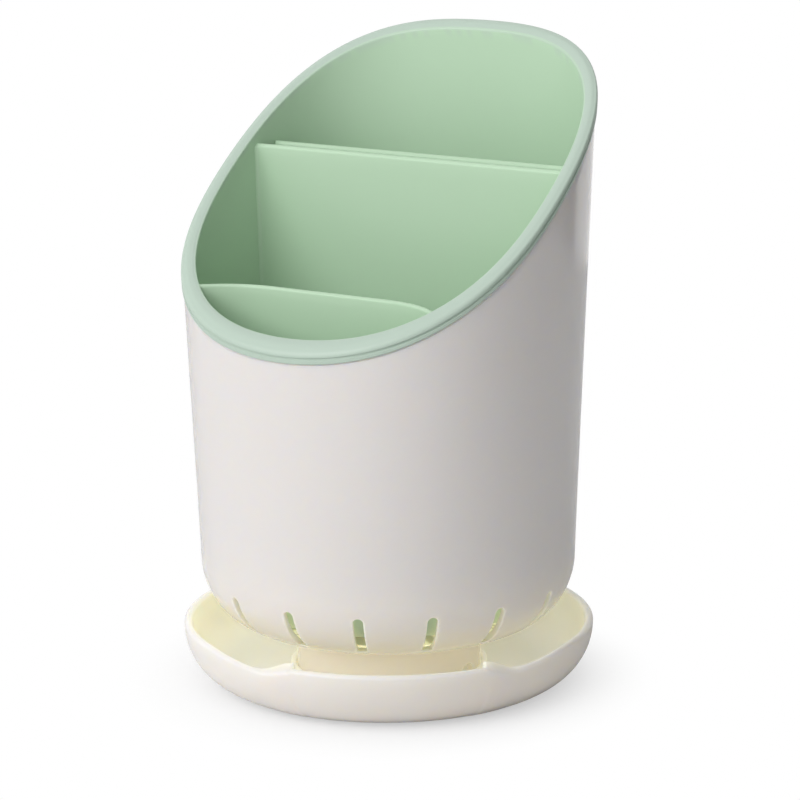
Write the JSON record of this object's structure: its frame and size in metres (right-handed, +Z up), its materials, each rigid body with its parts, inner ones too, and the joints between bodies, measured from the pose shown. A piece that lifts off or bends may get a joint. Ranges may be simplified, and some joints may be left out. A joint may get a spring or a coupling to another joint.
{
  "type": "cutlery drainer",
  "caption": "Slant-mouthed chopstick and cutlery drainer: tapered slotted body, lift-out liner with compartments and divider, round drip tray.",
  "frame": {"origin": "middle of the drip tray's underside, on the surface it stands on", "axes": "+Z up, -Y towards the low front of the slanted mouth, +Y towards its high back, +X to the right seen from the front"},
  "size_m": [0.1222, 0.1222, 0.1905],
  "materials": {
    "white_gloss": "glossy",
    "mint_satin": "satin",
    "cream_gloss": "glossy"
  },
  "bodies": {
    "tray": {"drip_tray": "cream_gloss"},
    "body_shell": {"outer_body": "white_gloss"},
    "liner": {"inner_liner": "mint_satin"},
    "divider": {"divider_plate": "mint_satin"}
  },
  "joints": [
    {"name": "body_lift", "type": "slide", "parent": "tray", "child": "body_shell", "axis": [0, 0, 1], "range_m": [0, 0.06]},
    {"name": "liner_lift", "type": "slide", "parent": "body_shell", "child": "liner", "axis": [0, 0, 1], "range_m": [0, 0.17]},
    {"name": "divider_lift", "type": "slide", "parent": "liner", "child": "divider", "axis": [0, 0, 1], "range_m": [0, 0.14]}
  ]
}
